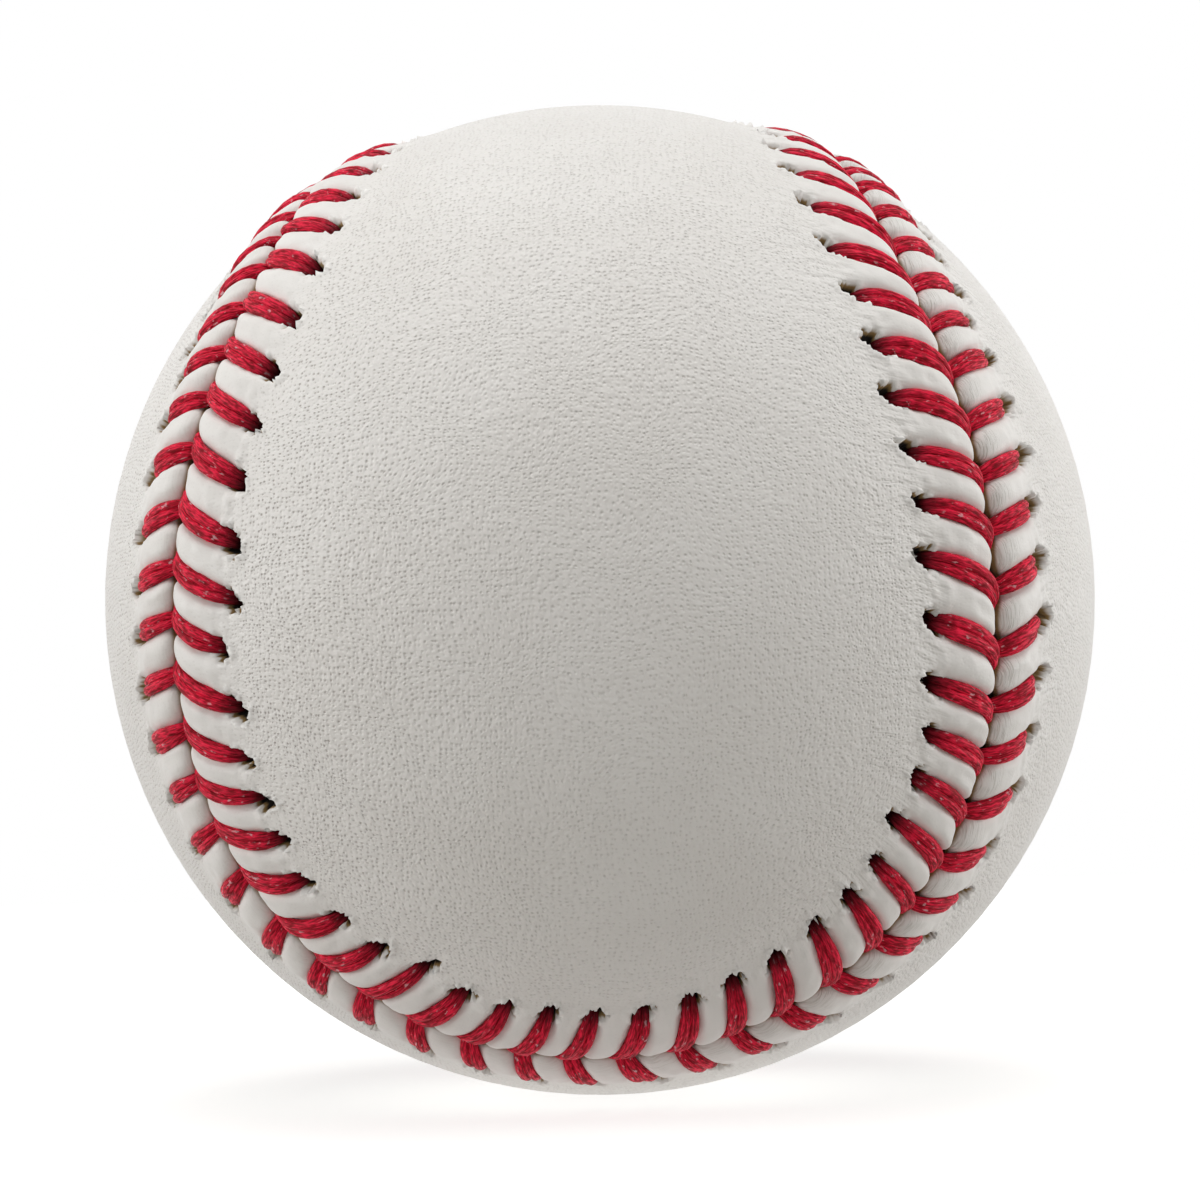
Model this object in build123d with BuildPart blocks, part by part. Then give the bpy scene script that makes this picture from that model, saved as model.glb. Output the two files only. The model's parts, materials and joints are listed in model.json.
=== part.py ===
"""A hand-sewn baseball: moulded core, four yarn windings, two leather panels and the stitches that close them.

The origin is the centre of the ball. +Z goes up through the neck of the upper panel, whose two lobes hang
down at -Y and +Y; the lower panel's neck is underneath and its lobes stand up at +X and -X.
"""

from build123d import *
import os
from math import atan, atan2, cos, degrees, radians, sin, sqrt, tan

# Moulded core, in millimetres
cork_radius = 10.3
black_rubber_thickness = 4.0
gasket_thickness = 1.6
red_rubber_thickness = 2.4

# Yarn windings, each measured outwards from the layer before it
inner_grey_wool_depth = 14.5
white_wool_depth = 1.8
outer_grey_wool_depth = 2.2
finishing_yarn_depth = 0.5

# Leather cover, and the room between one layer and the next
leather_thickness = 1.1
layer_clearance = 0.02

# Seam: width of a panel's neck, and length of the stretch between two lobes that bends neither way
neck_width = 35.4
straight_run = 22.1
seam_gap = 0.3

# Raised edge of a panel: crest and edge above and below the ball, and the hollow for the thread underneath
crest_distance = 1.7
crest_height = 0.7
crest_rounding = 2.0
edge_drop = 0.45
hollow_height = 0.5
foot_margin = 0.4

# Stitches: the reach runs along the thread from the seam to its hole, the lean is in degrees
stitch_count = 108
stitch_reach = 6.1
stitch_lean = 20.0
thread_width = 1.5
thread_thickness = 0.7
thread_flat_share = 0.55
thread_clearance = 0.05
hole_clearance = 0.25

# Radii of the layers, from the centre outwards
black_rubber_inner = cork_radius + layer_clearance
black_rubber_outer = black_rubber_inner + black_rubber_thickness
red_rubber_inner = black_rubber_outer + layer_clearance
red_rubber_outer = red_rubber_inner + red_rubber_thickness
inner_grey_inner = red_rubber_outer + layer_clearance
inner_grey_outer = inner_grey_inner + inner_grey_wool_depth
white_inner = inner_grey_outer + layer_clearance
white_outer = white_inner + white_wool_depth
outer_grey_inner = white_outer + layer_clearance
outer_grey_outer = outer_grey_inner + outer_grey_wool_depth
finishing_inner = outer_grey_outer + layer_clearance
finishing_outer = finishing_inner + finishing_yarn_depth
leather_inner = finishing_outer + layer_clearance
ball_radius = leather_inner + leather_thickness

# Angles of the seam at the centre of the ball. The middle of a lobe, the point where its arc ends and the
# point where the seam changes sides make a right-angled spherical triangle, which gives the size of the lobe.
neck_half_angle = neck_width / ball_radius / 2
straight_half_angle = straight_run / ball_radius / 2
lobe_tangent = (sqrt(2) * cos(straight_half_angle) - sin(neck_half_angle)) / cos(neck_half_angle)
lobe_angle = atan(lobe_tangent)
lobe_drop = 90 - degrees(lobe_angle + neck_half_angle)

# Slot that the thread comes up through, and the foot of the raised edge, which lies just outside the slots
lean = radians(stitch_lean)
hole_length = thread_thickness + 2 * hole_clearance
hole_width = thread_width + 2 * hole_clearance
hole_half_spread = (hole_length * cos(lean) + hole_width * sin(lean)) / 2
foot_distance = stitch_reach * cos(lean) + hole_half_spread + foot_margin

# Corners of the raised edge, outside and underneath, as distance from the middle of the seam and radius
outer_corners = (
    (foot_distance, ball_radius),
    (crest_distance, ball_radius + crest_height),
    (seam_gap / 2, ball_radius - edge_drop),
)
under_corners = (
    (foot_distance, leather_inner),
    (crest_distance, leather_inner + hollow_height),
    (seam_gap / 2, leather_inner),
)

centre = Vector(0, 0, 0)


def along(distance):
    """Angle at the centre, in degrees, of a distance along the leather."""
    return degrees(distance / ball_radius)


def polar(radius, angle):
    """Sketch point at a radius from the centre and an angle from the sketch's own Y axis."""
    return Vector(radius * sin(radians(angle)), radius * cos(radians(angle)), 0)


def over_top(distance, radius):
    """Point above the X axis at a radius from the centre and a distance along the leather from the top."""
    point = polar(radius, along(distance))
    return Vector(point.X, 0, point.Y)


def facing(azimuth, elevation):
    """Unit vector out of the ball at an azimuth from +X and an elevation."""
    level = Vector(cos(radians(azimuth)), sin(radians(azimuth)), 0)
    return level * cos(radians(elevation)) + Vector(0, 0, sin(radians(elevation)))


def turned(pole, start, end):
    """Degrees from start to end about a pole, counter-clockwise seen from outside."""
    across = pole.dot(start.cross(end))
    ahead = start.dot(end) - start.dot(pole) * end.dot(pole)
    return degrees(atan2(across, ahead)) % 360


def lobe_middle(lobe):
    """Middle of a lobe: even ones are the upper panel's and hang low, odd ones the lower panel's."""
    return facing(90 * lobe - 90, -lobe_drop if lobe % 2 == 0 else lobe_drop)


def straight_pole(lobe):
    """Pole, on the upper panel's side, of the straight run from a lobe to the next one."""
    crossing = facing(90 * lobe - 45, 0)
    middle = lobe_middle(lobe + lobe % 2)
    towards = (middle - crossing * middle.dot(crossing)).normalized()
    corner = degrees(atan2(tan(lobe_angle), sin(straight_half_angle)))
    return towards.rotate(Axis(centre, crossing), 90 - corner if lobe % 2 else corner - 90)


def tangent_point(lobe, run):
    """Point where a lobe's arc meets the straight run that follows lobe number run."""
    towards_pole = sin(lobe_angle) if lobe % 2 == 0 else -sin(lobe_angle)
    return (lobe_middle(lobe) - straight_pole(run) * towards_pole) / cos(lobe_angle)


def seam_arcs():
    """The seam as eight tangent arcs on the ball: pole, angle from the pole, start and turn.

    Every pole lies on the upper panel's side, so that panel is on the left all the way round.
    """
    arcs = []
    for lobe in range(4):
        upper = lobe % 2 == 0
        pole = lobe_middle(lobe) if upper else -lobe_middle(lobe)
        angle = degrees(lobe_angle) if upper else 180 - degrees(lobe_angle)
        start = tangent_point(lobe, lobe - 1)
        end = tangent_point(lobe, lobe)
        arcs.append((pole, angle, start, turned(pole, start, end)))
        arcs.append((straight_pole(lobe), 90, end, 2 * degrees(straight_half_angle)))
    return arcs


def stitch_planes():
    """Planes at the centre for the upper panel's stitches: Z out through the seam, X along the thread."""
    arcs = seam_arcs()
    lengths = [sin(radians(angle)) * turn for pole, angle, start, turn in arcs]
    planes = []
    for stitch in range(stitch_count):
        place = lengths[-1] / 2 + stitch / stitch_count * sum(lengths)
        number = -1
        while place > lengths[number]:
            place -= lengths[number]
            number += 1
        pole, angle, start, turn = arcs[number]
        outward = start.rotate(Axis(centre, pole), turn * place / lengths[number])
        forward = pole.cross(outward).normalized()
        inward = outward.cross(forward)
        planes.append(Plane(centre, x_dir=inward * cos(lean) + forward * sin(lean), z_dir=outward))
    return planes


def save(builder, name):
    """Label a finished piece and write its file."""
    builder.part.label = name
    export_step(builder.part, "parts/" + name + ".step")


os.makedirs("parts", exist_ok=True)

# Cork and rubber bead in the middle
with BuildPart() as cork_core:
    Sphere(cork_radius)
save(cork_core, "cork_core")

# Two cups of black rubber round the cork
with BuildPart() as upper_cup:
    Sphere(black_rubber_outer)
    Sphere(black_rubber_inner, mode=Mode.SUBTRACT)
    split(bisect_by=Plane.XY.offset(gasket_thickness / 2 + layer_clearance), keep=Keep.TOP)
save(upper_cup, "black_rubber_cup_upper")

with BuildPart() as lower_cup:
    mirror(upper_cup.part, about=Plane.XY)
save(lower_cup, "black_rubber_cup_lower")

# Red rubber ring that seals the joint between the cups
with BuildPart() as gasket:
    Sphere(black_rubber_outer)
    Sphere(black_rubber_inner, mode=Mode.SUBTRACT)
    split(bisect_by=Plane.XY.offset(gasket_thickness / 2), keep=Keep.BOTTOM)
    split(bisect_by=Plane.XY.offset(-gasket_thickness / 2), keep=Keep.TOP)
save(gasket, "cup_gasket")

# Red rubber skin of the core and the four windings over it
layers = (
    ("red_rubber_skin", red_rubber_inner, red_rubber_outer),
    ("inner_grey_wool_winding", inner_grey_inner, inner_grey_outer),
    ("white_wool_winding", white_inner, white_outer),
    ("outer_grey_wool_winding", outer_grey_inner, outer_grey_outer),
    ("finishing_yarn_winding", finishing_inner, finishing_outer),
)
for layer_name, layer_inner, layer_outer in layers:
    with BuildPart() as layer:
        Sphere(layer_outer)
        Sphere(layer_inner, mode=Mode.SUBTRACT)
    save(layer, layer_name)

# Raised edge of the upper panel: one section turned along each of the eight arcs of the seam
with BuildPart() as raised_edge:
    for pole, angle, start, turn in seam_arcs():
        level = (start - pole * start.dot(pole)).normalized()
        with BuildSketch(Plane(centre, x_dir=level, z_dir=level.cross(pole))):
            with BuildLine():
                outer = [polar(radius, angle - along(distance)) for distance, radius in outer_corners]
                under = [polar(radius, angle - along(distance)) for distance, radius in under_corners]
                FilletPolyline(*outer, radius=crest_rounding)
                Line(outer[-1], under[-1])
                Polyline(*under)
                Line(under[0], outer[0])
            make_face()
        revolve(axis=Axis(centre, pole), revolution_arc=turn)

# Plain field of the panel, which is the topmost piece of a hollow ball cut by the raised edge
with BuildPart() as hollow_ball:
    Sphere(ball_radius)
    Sphere(leather_inner, mode=Mode.SUBTRACT)
    add(raised_edge.part, mode=Mode.SUBTRACT)
field = hollow_ball.solids().sort_by(Axis.Z)[-1]

# One stitch, as if the seam crossed the top of the ball: out of its slot, over the crest and down to the seam
foot, crest, edge = [over_top(distance / cos(lean), radius) for distance, radius in outer_corners]
slot_share = (foot_distance - stitch_reach * cos(lean)) / (foot_distance - crest_distance)
slot = foot + (crest - foot) * slot_share
shoulder = (edge - crest).normalized()
ramp_out = Axis.Y.direction.cross(crest - foot).normalized()
shoulder_out = Axis.Y.direction.cross(shoulder)
thread_half_flat = thread_flat_share * thread_width / 2
thread_rise = thread_thickness / 2 + thread_clearance + thread_half_flat * sin(lean)
bend = crest + (ramp_out + shoulder_out) * (thread_rise / (1 + ramp_out.dot(shoulder_out)))
with BuildPart() as stitch:
    with BuildLine() as thread_path:
        Polyline(
            slot - ramp_out * leather_thickness,
            slot + ramp_out * thread_rise,
            bend,
            edge + shoulder_out * thread_rise + shoulder * (thread_thickness / 2),
        )
    with BuildSketch(Plane(thread_path.line @ 0, x_dir=(0, 1, 0), z_dir=ramp_out)):
        Polygon(
            (thread_width / 2, 0),
            (thread_half_flat, thread_thickness / 2),
            (-thread_half_flat, thread_thickness / 2),
            (-thread_width / 2, 0),
            (-thread_half_flat, -thread_thickness / 2),
            (thread_half_flat, -thread_thickness / 2),
        )
    sweep(path=thread_path.line, transition=Transition.RIGHT)
    inward = Vector(cos(lean), sin(lean), 0)
    split(bisect_by=Plane(inward * (seam_gap / 2), z_dir=inward), keep=Keep.TOP)

# The awl that cuts its slot
with BuildPart() as awl:
    with BuildSketch(Plane(slot, x_dir=foot - crest, z_dir=ramp_out)):
        Rectangle(hole_length, hole_width)
    extrude(amount=2 * leather_thickness, both=True)

# Panels: slots go through the raised edge alone, and the lower panel is the upper one mirrored and turned a quarter
with BuildPart() as upper_panel:
    add(raised_edge.part)
    with Locations(*stitch_planes()):
        add(awl.part, mode=Mode.SUBTRACT)
    add(field)
save(upper_panel, "leather_panel_upper")

with BuildPart() as lower_panel:
    add(mirror(upper_panel.part, about=Plane.XY, mode=Mode.PRIVATE), rotation=(0, 0, 90))
save(lower_panel, "leather_panel_lower")

with BuildPart() as upper_stitches:
    with Locations(*stitch_planes()):
        add(stitch.part)
save(upper_stitches, "stitches_upper")

with BuildPart() as lower_stitches:
    add(mirror(upper_stitches.part, about=Plane.XY, mode=Mode.PRIVATE), rotation=(0, 0, 90))
save(lower_stitches, "stitches_lower")
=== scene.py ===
# %% [markdown]
# # A hand-sewn baseball
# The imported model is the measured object: a moulded core, four windings of yarn, two figure-eight
# panels of leather and 108 stitches on each of them. It stays as it is, and this lesson dresses it: the
# leather is puffed up between the stitches, the thread gets its plies, and the yarn of the windings is
# laid turn by turn. Everything is in metres, in the frame of the model: the origin is the centre of the
# ball and +Z is up.

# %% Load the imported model
import json
from math import atan, atan2, cos, degrees, pi, radians, sin, sqrt, tan

import bmesh
import bpy
import numpy as np
from mathutils import Matrix, Vector


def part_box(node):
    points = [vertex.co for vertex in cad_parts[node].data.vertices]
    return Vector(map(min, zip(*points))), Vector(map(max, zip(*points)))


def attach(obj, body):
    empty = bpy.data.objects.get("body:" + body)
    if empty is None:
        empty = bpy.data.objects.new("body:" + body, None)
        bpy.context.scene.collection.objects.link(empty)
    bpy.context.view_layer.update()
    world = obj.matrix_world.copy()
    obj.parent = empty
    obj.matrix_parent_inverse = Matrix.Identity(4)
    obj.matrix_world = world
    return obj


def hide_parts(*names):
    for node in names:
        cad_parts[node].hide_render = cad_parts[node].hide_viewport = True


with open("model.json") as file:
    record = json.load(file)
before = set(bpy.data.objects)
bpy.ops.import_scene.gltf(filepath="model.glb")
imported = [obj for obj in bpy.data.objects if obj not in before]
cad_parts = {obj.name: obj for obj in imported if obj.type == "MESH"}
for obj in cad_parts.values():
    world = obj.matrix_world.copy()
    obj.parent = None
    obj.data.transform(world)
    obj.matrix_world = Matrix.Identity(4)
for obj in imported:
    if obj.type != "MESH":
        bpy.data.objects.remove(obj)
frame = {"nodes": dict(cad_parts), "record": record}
scene = bpy.context.scene
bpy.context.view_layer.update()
mm = 0.001
ball_radius = -frame["record"]["mounts"][0]["pos_m"][2]
leather_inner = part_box("finishing_yarn_winding")[1].z
print("ball radius", ball_radius, "leather thickness", ball_radius - leather_inner)

# %% [markdown]
# ## The path of the seam
# The two panels are cut alike, so the seam between them has to swing evenly round the ball. Here it is
# eight tangent arcs on the sphere: a round arc about each of the four lobes, and a straight run between
# one lobe and the next. The neck of a panel and the straight run set everything else. A free curve
# through points would look much the same, but on arcs every distance from the seam is exact, which the
# stitches need.

# %% Lobes and straight runs
neck_width = 35.4 * mm
straight_run = 22.1 * mm
neck_half = neck_width / ball_radius / 2
straight_half = straight_run / ball_radius / 2
lobe_angle = atan((sqrt(2) * cos(straight_half) - sin(neck_half)) / cos(neck_half))
lobe_drop = pi / 2 - lobe_angle - neck_half


def facing(azimuth, elevation):
    """Unit vector out of the ball."""
    return np.array([cos(azimuth) * cos(elevation), sin(azimuth) * cos(elevation), sin(elevation)])


def unit(vectors):
    """The same directions, each of length 1."""
    return vectors / np.linalg.norm(vectors, axis=1)[:, None]


def lobe_middle(lobe):
    """Middle of a lobe: even lobes are the upper panel's and hang low, odd ones the lower panel's."""
    return facing(pi / 2 * (lobe - 1), -lobe_drop if lobe % 2 == 0 else lobe_drop)


def straight_pole(lobe):
    """Pole, on the upper panel's side, of the straight run from a lobe to the next one."""
    crossing = facing(pi / 2 * (lobe - 0.5), 0)
    middle = lobe_middle(lobe + lobe % 2)
    towards = middle - crossing * (middle @ crossing)
    towards = towards / np.linalg.norm(towards)
    corner = atan2(tan(lobe_angle), sin(straight_half))
    turn = pi / 2 - corner if lobe % 2 else corner - pi / 2
    return towards * cos(turn) + np.cross(crossing, towards) * sin(turn)


def tangent_point(lobe, run):
    """Point where a lobe's arc meets the straight run that follows lobe number run."""
    towards_pole = sin(lobe_angle) if lobe % 2 == 0 else -sin(lobe_angle)
    return (lobe_middle(lobe) - straight_pole(run) * towards_pole) / cos(lobe_angle)


print("lobes", degrees(lobe_angle), "degrees round their middles, dropped by", degrees(lobe_drop))

# %% Arcs of the seam, each with its pole on the upper panel's side
arcs = []
for lobe in range(-1, 3):
    arcs.append((straight_pole(lobe), pi / 2, tangent_point(lobe, lobe), 2 * straight_half))
    side = 1 if (lobe + 1) % 2 == 0 else -1
    pole = side * lobe_middle(lobe + 1)
    start = tangent_point(lobe + 1, lobe)
    end = tangent_point(lobe + 1, lobe + 1)
    across = pole @ np.cross(start, end)
    ahead = start @ end - (start @ pole) * (end @ pole)
    angle = lobe_angle if side > 0 else pi - lobe_angle
    arcs.append((pole, angle, start, atan2(across, ahead) % (2 * pi)))

poles, angles, starts, turns = (np.array(values) for values in zip(*arcs))
levels = unit(starts - poles * np.cos(angles)[:, None])
sides = np.cross(poles, levels)
arc_lengths = ball_radius * np.sin(angles) * turns
arc_ends = np.cumsum(arc_lengths)
seam_length = arc_ends[-1]
stitch_count = 108
pitch = seam_length / stitch_count
print("seam", seam_length, "m long, a stitch every", pitch)

# %% Places along the seam. A drift is how far, how many swings in a quarter of the seam, and its start
sewing_drifts = ((0.22 * mm, 3, 1), (0.16 * mm, 7, 2))


def uneven_sewing(along):
    """A hand doesn't space stitches evenly. Both panels share this, so each quarter repeats it."""
    quarter = 2 * pi * along / seam_length * 4
    return sum(drift * np.sin(swings * quarter + start) for drift, swings, start in sewing_drifts)


def arc_at(along):
    """Length from the start of the first arc, and the arc there. Along starts at that arc's middle."""
    place = (along + arc_lengths[0] / 2) % seam_length
    return place, np.minimum(np.searchsorted(arc_ends, place, side="right"), len(arc_ends) - 1)


stations = np.arange(stitch_count) * pitch
print("stitches drift by up to", np.abs(uneven_sewing(stations)).max() / mm, "mm")


# %% Seam coordinates: along the seam, away from it into the upper panel, and up from the ball
def on_ball(along, away, height):
    """Points of the upper panel. Along is counted from the middle of the first straight run."""
    along, away, height = np.broadcast_arrays(along, away, height)
    place, arc = arc_at(along + uneven_sewing(along))
    turn = (place - (arc_ends - arc_lengths)[arc]) / (ball_radius * np.sin(angles[arc]))
    tilt = angles[arc] - away / ball_radius
    level = levels[arc] * np.cos(turn)[..., None] + sides[arc] * np.sin(turn)[..., None]
    ray = poles[arc] * np.cos(tilt)[..., None] + level * np.sin(tilt)[..., None]
    return ray * (ball_radius + height)[..., None]


def narrowing(along, away):
    """How much a length along the seam shrinks or grows at a distance from it."""
    angle = angles[arc_at(along)[1]]
    return np.sin(angle - away / ball_radius) / np.sin(angle)


# The lower panel is the upper one, turned a quarter and mirrored top to bottom.
to_lower = np.array([[0, 1, 0], [-1, 0, 0], [0, 0, -1]])
print("first crossing at", on_ball(0.0, 0.0, 0.0))

# %% [markdown]
# ## The lie of the stitches
# Each stitch leaves its hole, leans back along the seam as it comes over the raised edge, and hooks down
# into the gap. The mesh of the leather leans in the same way, so that one column of faces runs along each
# thread and the groove, the hole and the notch in the edge are all cut along columns. A straight grid
# would need many more faces for edges as clean.

# %% Lean of the thread. A pair of values is for the upper and the lower panel, here and below
thread_leans = (radians(20.0), radians(14.0))
lean_reach = 7.2 * mm
thread_hooks = (0.7 * mm, 0.2 * mm)
hook_reach = 1.9 * mm
hole_away = 5.55 * mm
hole_scatter = 0.2 * mm


def lean_along(away, lower):
    """How far along the seam a thread has gone at a distance from it."""
    hook = np.clip(1 - np.asarray(away) / hook_reach, 0, None)
    slope = tan(thread_leans[lower])
    return np.minimum(away, lean_reach) * slope - thread_hooks[lower] * hook ** 2


hole_shifts = np.random.default_rng(3).normal(0, hole_scatter, (2, stitch_count))
print("a thread leans", lean_along(hole_away, False) / mm, "mm from the seam to its hole")

# %% Soft steps and waves, for anything that fades or is uneven
wave_count = 14
fewest_waves = 0.6
more_waves = 0.8


def ease(value, low, high):
    """Smooth step from 0 at low to 1 at high."""
    share = np.clip((value - low) / (high - low), 0, 1)
    return share * share * (3 - 2 * share)


def waves(along, away, size, seed):
    """Seeded soft waves of about that size, which close on themselves round the seam."""
    rng = np.random.default_rng(seed)
    total = 0
    for heading, share, phase in rng.uniform(0, 1, (wave_count, 3)):
        number = (fewest_waves + more_waves * share) / size
        rounds = round(cos(2 * pi * heading) * number * seam_length)
        turn = rounds * along / seam_length + sin(2 * pi * heading) * number * away + phase
        total = total + np.cos(2 * pi * turn)
    return total / sqrt(wave_count / 2)


print("a soft step is at", ease(0.9, 0.0, 1.0), "near its end")

# %% [markdown]
# ## Shape of the leather
# Pulled tight, the thread bites into the leather: it lies in a groove, the leather puffs up between two
# threads, and the cut edge draws back where a thread goes over it, so that the seam is a row of scallops.
# The hole is a slit that the pull has torn open. All of it is one height above the ball, worked out from
# the distance to the nearest thread and to the seam. Sculpting would give one stitch, and a formula gives
# all 108.

# %% Nearest thread, and the rise of the leather towards the seam
crest_away = 2.2 * mm
crest_height = 0.62 * mm
leather_seeds = (11, 47)
unevenness = [np.random.default_rng(seed).normal(0, 1, (3, stitch_count)) for seed in leather_seeds]


def hillside(away):
    """Rise of the leather towards the seam, before any thread is pulled into it."""
    return crest_height * (1 - ease(away, crest_away, lean_reach))


def nearest_thread(along, away, lower):
    """Number of the nearest stitch, and the distance sideways from its thread."""
    stitch = along / pitch
    beside = (stitch - np.round(stitch)) * pitch * narrowing(along, away) * cos(thread_leans[lower])
    return np.round(stitch).astype(int) % stitch_count, beside


print("leather rises to", hillside(crest_away) / mm, "mm, and to", hillside(hole_away) / mm, "at a hole")

# %% Torn hole: a pit with a ragged edge and a raised lip, on which a highlight is painted
pit_half = 0.71 * mm
pit_back = 1.2 * mm
pit_front = 1.1 * mm
pit_unevenness = 0.1
front_unevenness = 0.18
lower_stretch = 0.2
ragged_size = 0.6 * mm
ragged_depth = 0.1 * mm
length_power = 1.35
width_power = 1.8
pit_floor = 0.82
pit_rim = 1.07
lip_middle = 1.35
lip_width = 0.3
lip_behind = -0.9 * mm
lip_share = 0.5
lip_most = 2


def torn_hole(along, away, lower):
    """How deep in a hole a point is, from 0 to 1, and how high on its lip."""
    seed = leather_seeds[lower]
    lean = thread_leans[lower]
    number, beside = nearest_thread(along, away, lower)
    wider, longer = unevenness[lower][:2]
    hole = hole_away + hole_shifts[int(lower), number]
    ragged = waves(along, away, ragged_size, seed + 1)
    behind = (away - hole) / cos(lean) + ragged_depth * waves(along, away, ragged_size, seed + 3)
    aside = beside + ragged_depth * ragged
    front = pit_front * (1 + lower_stretch * lower + front_unevenness * longer[number])
    length = np.where(behind > 0, front, pit_back)
    half = pit_half * (1 + pit_unevenness * wider[number])
    taper = np.abs(behind / length) ** length_power + np.abs(aside / half) ** width_power
    lip = np.exp(-((taper - lip_middle) / lip_width) ** 2) * (behind > lip_behind)
    return 1 - ease(taper, pit_floor, pit_rim), lip * np.clip(lip_share + ragged, 0, lip_most)


print("holes", 2 * pit_half / mm, "mm wide and", (pit_back + pit_front) / mm, "mm long")

# %% Height of the leather, with all that the threads do to it
puff_height = 0.2 * mm
puff_full = 2.8 * mm
puff_end = 6.4 * mm
puff_unevenness = 0.25
groove_depth = 0.5 * mm
groove_half = 0.8 * mm
groove_power = 4
groove_before = 0.2 * mm
groove_behind = 0.6 * mm
pit_depth = 1.0 * mm
lip_heights = (0.18 * mm, 0.12 * mm)
lip_mark = 0.4
crumple_size = 1.3 * mm
crumple_height = 0.03 * mm
crumple_full = 5.0 * mm
crumple_end = 7.5 * mm


def pulled_leather(along, away, lower):
    """Height, how deep in a hole (below 0 on its torn lip, where a highlight is painted), and how far
    clear of a thread.
    """
    stitch = along / pitch
    number, beside = nearest_thread(along, away, lower)
    puffier = unevenness[lower][2][np.floor(stitch).astype(int) % stitch_count]
    puff = np.sin(pi * stitch) ** 2 * (1 - ease(away, puff_full, puff_end))
    puff = puff * (1 + puff_unevenness * puffier)
    hole = hole_away + hole_shifts[int(lower), number]
    groove = np.exp(-(np.abs(beside) / groove_half) ** groove_power)
    groove = groove * (1 - ease(away, hole - groove_before, hole + groove_behind))
    pit, lip = torn_hole(along, away, lower)
    crumple = waves(along, away, crumple_size, leather_seeds[lower] + 2)
    crumple = crumple * ease(-away, -crumple_end, -crumple_full)
    height = hillside(away) + puff_height * puff - groove_depth * groove - pit_depth * pit
    height = height + lip_heights[lower] * lip + crumple_height * crumple
    return height, pit - lip_mark * lip * (1 - pit), 1 - groove


print("leather crest", crest_height / mm, "mm, with puffs of", puff_height / mm)

# %% [markdown]
# ## Panels
# A panel starts as a plain grid: its columns go round the seam, and its rows run from the spine of the
# panel out to the edge, down the cut wall and back underneath. Rows far from the seam need fewer columns,
# so there the columns are gathered on their neighbours and remove_doubles joins them. The lower panel is
# the upper one, mirrored and turned a quarter, with torn holes of its own.

# %% Columns of a panel, and the field between its raised edges
columns_per_stitch = 18
columns = stitch_count * columns_per_stitch
fine_step = 1
middle_step = 3
wide_step = 6
spine_points = 60
ring_away = 9.0 * mm
field_shares = np.linspace(0, 1, 21)


def gathered(step):
    """Stations of the columns, gathered on every so many of them."""
    return np.round(np.arange(columns + 1) / step) * step / columns * seam_length


def spine(along):
    """Directions of the middle line of the panel, which runs from lobe to lobe over the top."""
    place = arc_at(along)[0]
    lobe_tilt = pi / 2 + lobe_drop
    first, lobe_end, chain_end, second_end = arc_ends[0], arc_ends[1], arc_ends[4], arc_ends[5]
    tilt = np.interp(
        place,
        [second_end - seam_length, first, lobe_end, chain_end, second_end, seam_length + first],
        np.array([-1, 1, 1, -1, -1, 1]) * lobe_tilt,
    )
    tilt = np.round(tilt / lobe_tilt * spine_points / 2) / spine_points * 2 * lobe_tilt
    return np.stack([0 * tilt, -np.sin(tilt), np.cos(tilt)], axis=-1)


def field_rows(height, lower):
    """Rows from the ring round the panel's field to its spine."""
    along = gathered(wide_step) + lean_along(ring_away, lower)
    ring = on_ball(along, ring_away, 0.0) / ball_radius
    middle = spine(along)
    between = np.arccos(np.clip((ring * middle).sum(-1), -1, 1))[:, None]
    rows = []
    for share in field_shares:
        ray = ring * np.sin((1 - share) * between) + middle * np.sin(share * between)
        rows.append(ray / np.sin(between) * (ball_radius + height))
    return rows


print("grid of", columns, "columns")

# %% Rows on top. A row is its points, their distance from the seam, and the marks for torn-and-shade and ribbed
torn_rows = np.linspace(7.3, 4.6, 16) * mm
slope_rows = np.concatenate([[8.0 * mm], torn_rows, np.linspace(4.3, 2.5, 6) * mm])
field_reach = 11 * mm
rib_marks = (0.2, 1.0)
lower_torn_and_shade = 0.47
lower_torn_from = 0.4


def top_rows(lower):
    """Rows from the spine of a panel to the crest of its edge."""
    inward = ring_away + field_reach * field_shares
    field = list(zip(field_rows(0.0, lower), inward))
    rows = [(points, away, 0.0, 0.0) for points, away in field[::-1]]
    for away in slope_rows:
        along = gathered(middle_step if away > torn_rows[0] else fine_step)
        height, pit, clear = pulled_leather(along, away, lower)
        # The mark paints raw brown and then black shade in a hole; on the lower panel it stays lower,
        # with less black.
        torn_and_shade = lower_torn_and_shade * ease(pit, 0.0, lower_torn_from) if lower else pit
        points = on_ball(along + lean_along(away, lower), away, height)
        rows.append((points, away, torn_and_shade, rib_marks[lower] * clear))
    return rows


print(len(field_shares), "rows in the field and", len(slope_rows), "up the slope")

# %% Rows of the cut edge
gap_half = 0.25 * mm
notch_depth = 0.7 * mm
notch_half = 0.95 * mm
notch_power = 2.5
edge_waver = 0.03 * mm
edge_waver_size = 1.5 * mm
edge_seed = 21
edge_height = -0.58 * mm
edge_roundness = 3.0
edge_shares = np.array([1, 0.86, 0.72, 0.59, 0.47, 0.36, 0.26, 0.17, 0.1, 0.04, 0])
raw_edge_shade = 0.6
raw_share = 0.052


def edge_line(along, lower):
    """How far the cut edge stays from the middle of the seam."""
    stitch = along / pitch
    beside = (stitch - np.round(stitch)) * pitch
    notch = np.exp(-np.abs(beside / notch_half) ** notch_power)
    waver = edge_waver * waves(along, 0.0, edge_waver_size, edge_seed + int(lower))
    return gap_half + notch_depth * notch + waver


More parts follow.
